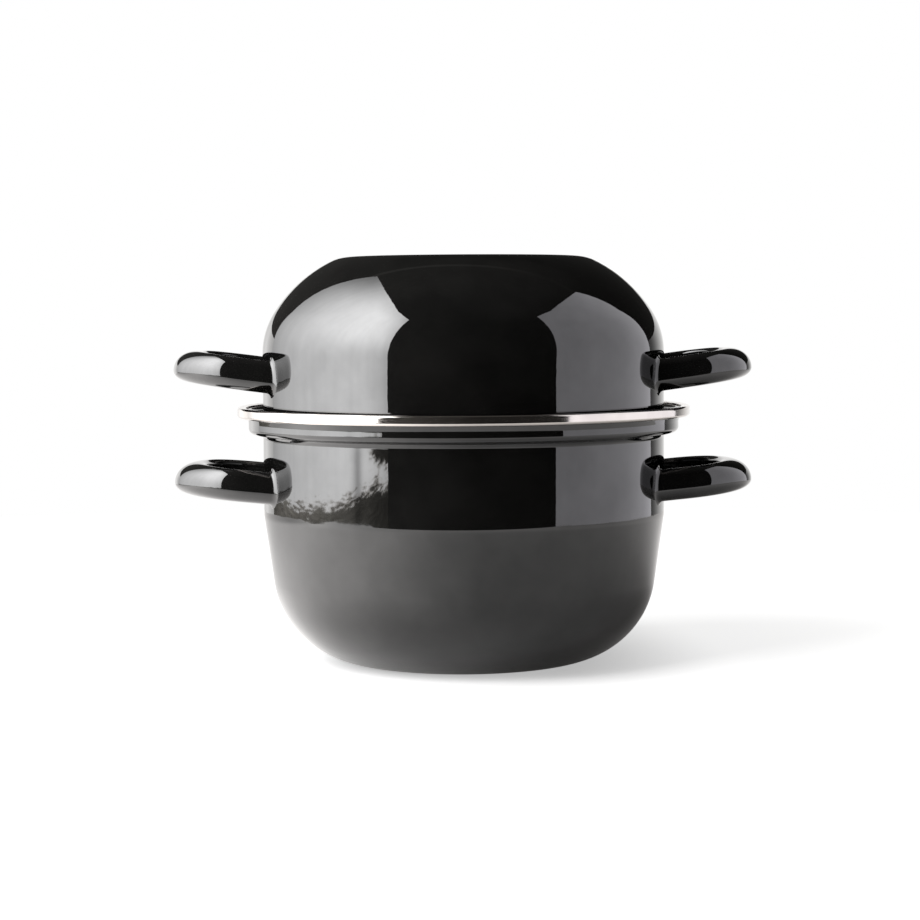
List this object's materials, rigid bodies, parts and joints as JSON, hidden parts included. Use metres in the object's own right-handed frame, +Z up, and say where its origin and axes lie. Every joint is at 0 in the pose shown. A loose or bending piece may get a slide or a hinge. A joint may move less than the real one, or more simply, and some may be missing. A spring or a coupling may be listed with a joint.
{
  "type": "mussel pot",
  "caption": "Round enamelled steel pot for cooking mussels, with a stepped collar, loop handles and a deep domed lid that lifts off and serves as a dish for the shells.",
  "frame": {"origin": "centre of the flat base, on the surface that the pot stands on", "axes": "+Z up along the pot's axis; the handles point along +X and -X, the right ones of the picture along +X; -Y towards the viewer"},
  "size_m": [0.2884, 0.2254, 0.2019],
  "materials": {
    "black_enamel": "glossy fired enamel on steel sheet",
    "stainless_trim": "polished stainless"
  },
  "bodies": {
    "pot": {"pot_body": "black_enamel", "pot_rim_trim": "stainless_trim", "pot_handle_left": "black_enamel", "pot_handle_right": "black_enamel"},
    "lid": {"lid_body": "black_enamel", "lid_rim_trim": "stainless_trim", "lid_handle_left": "black_enamel", "lid_handle_right": "black_enamel"}
  },
  "joints": [
    {"name": "lid_lift", "type": "slide", "parent": "pot", "child": "lid", "axis": [0, 0, 1], "range_m": [0, 0.2]}
  ]
}
